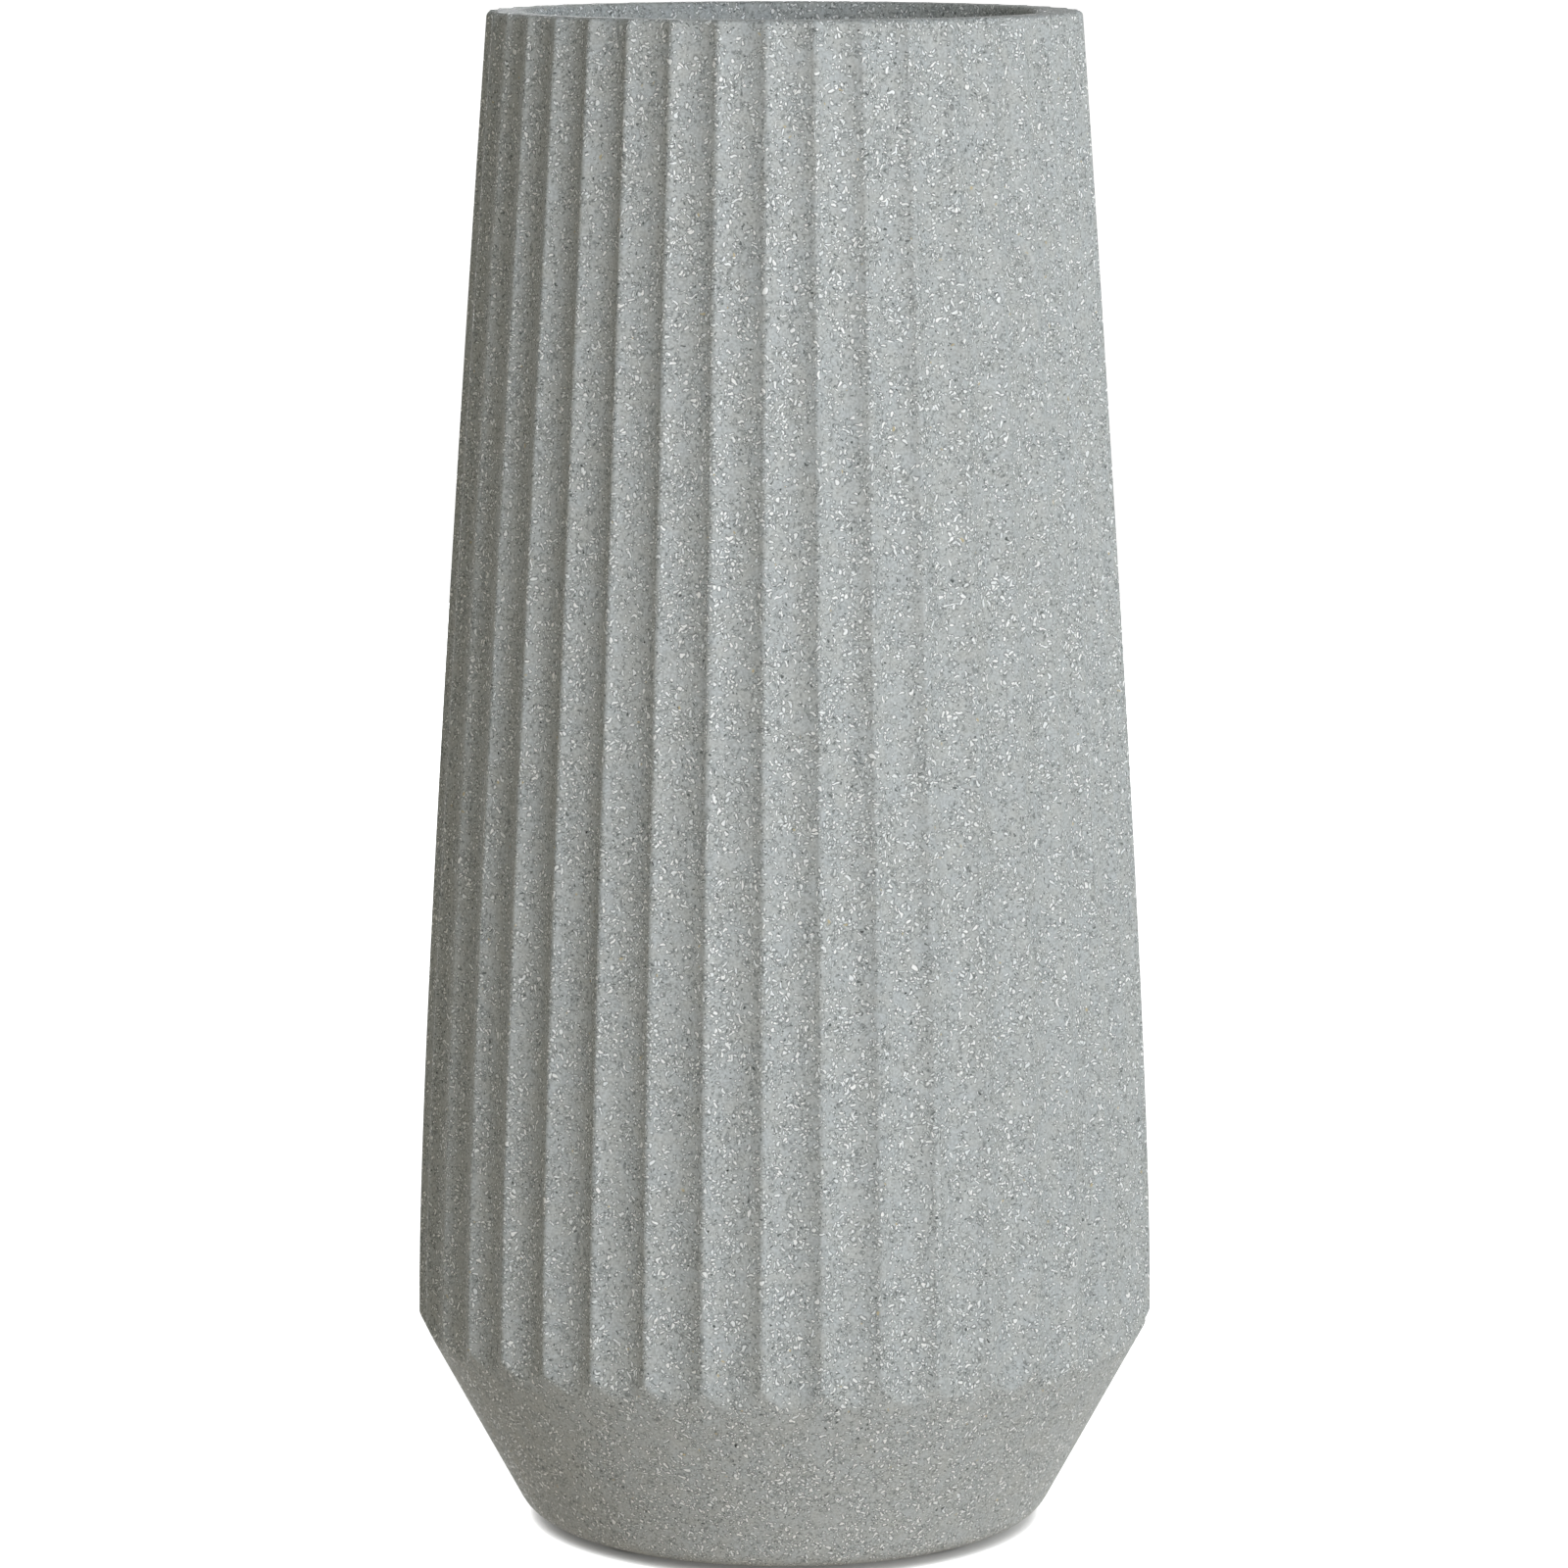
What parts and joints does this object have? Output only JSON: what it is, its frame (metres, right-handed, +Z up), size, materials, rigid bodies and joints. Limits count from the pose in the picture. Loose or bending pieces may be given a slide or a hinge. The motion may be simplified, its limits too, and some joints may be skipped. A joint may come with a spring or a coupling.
{
  "type": "cachepot",
  "caption": "Tall tapered cachepot in speckled cast stone, with concave flutes above a plain cone foot, a drop-in liner on folding handles, a drain plug and felt pads.",
  "frame": {"origin": "on the ground under the felt pads, on the pot's axis", "axes": "+Z up along the pot's axis to the rim, -Y towards the front that the picture shows, +X to the right of that view"},
  "size_m": [0.2986, 0.2986, 0.61],
  "materials": {
    "cast_stone": "matte",
    "liner_plastic": "satin",
    "handle_plastic": "satin",
    "plug_rubber": "matte",
    "pad_felt": "matte"
  },
  "bodies": {
    "shell": {"fluted_shell": "cast_stone", "foot_pad_front_left": "pad_felt", "foot_pad_front_right": "pad_felt", "foot_pad_back_left": "pad_felt", "foot_pad_back_right": "pad_felt"},
    "liner": {"liner_pot": "liner_plastic"},
    "right_handle": {"liner_handle_right": "handle_plastic"},
    "left_handle": {"liner_handle_left": "handle_plastic"},
    "plug": {"drain_plug": "plug_rubber"}
  },
  "joints": [
    {"name": "liner_lift", "type": "slide", "parent": "shell", "child": "liner", "axis": [0, 0, 1], "range_m": [0, 0.29]},
    {"name": "right_handle_fold", "type": "hinge", "parent": "liner", "child": "right_handle", "pos_m": [0.053, 0, 0.5921], "axis": [0, -1, 0], "range_deg": [0, 100]},
    {"name": "left_handle_fold", "type": "hinge", "parent": "liner", "child": "left_handle", "pos_m": [-0.053, 0, 0.5921], "axis": [0, 1, 0], "range_deg": [0, 100]},
    {"name": "plug_pull", "type": "slide", "parent": "shell", "child": "plug", "axis": [0, 0, 1], "range_m": [0, 0.06]}
  ]
}
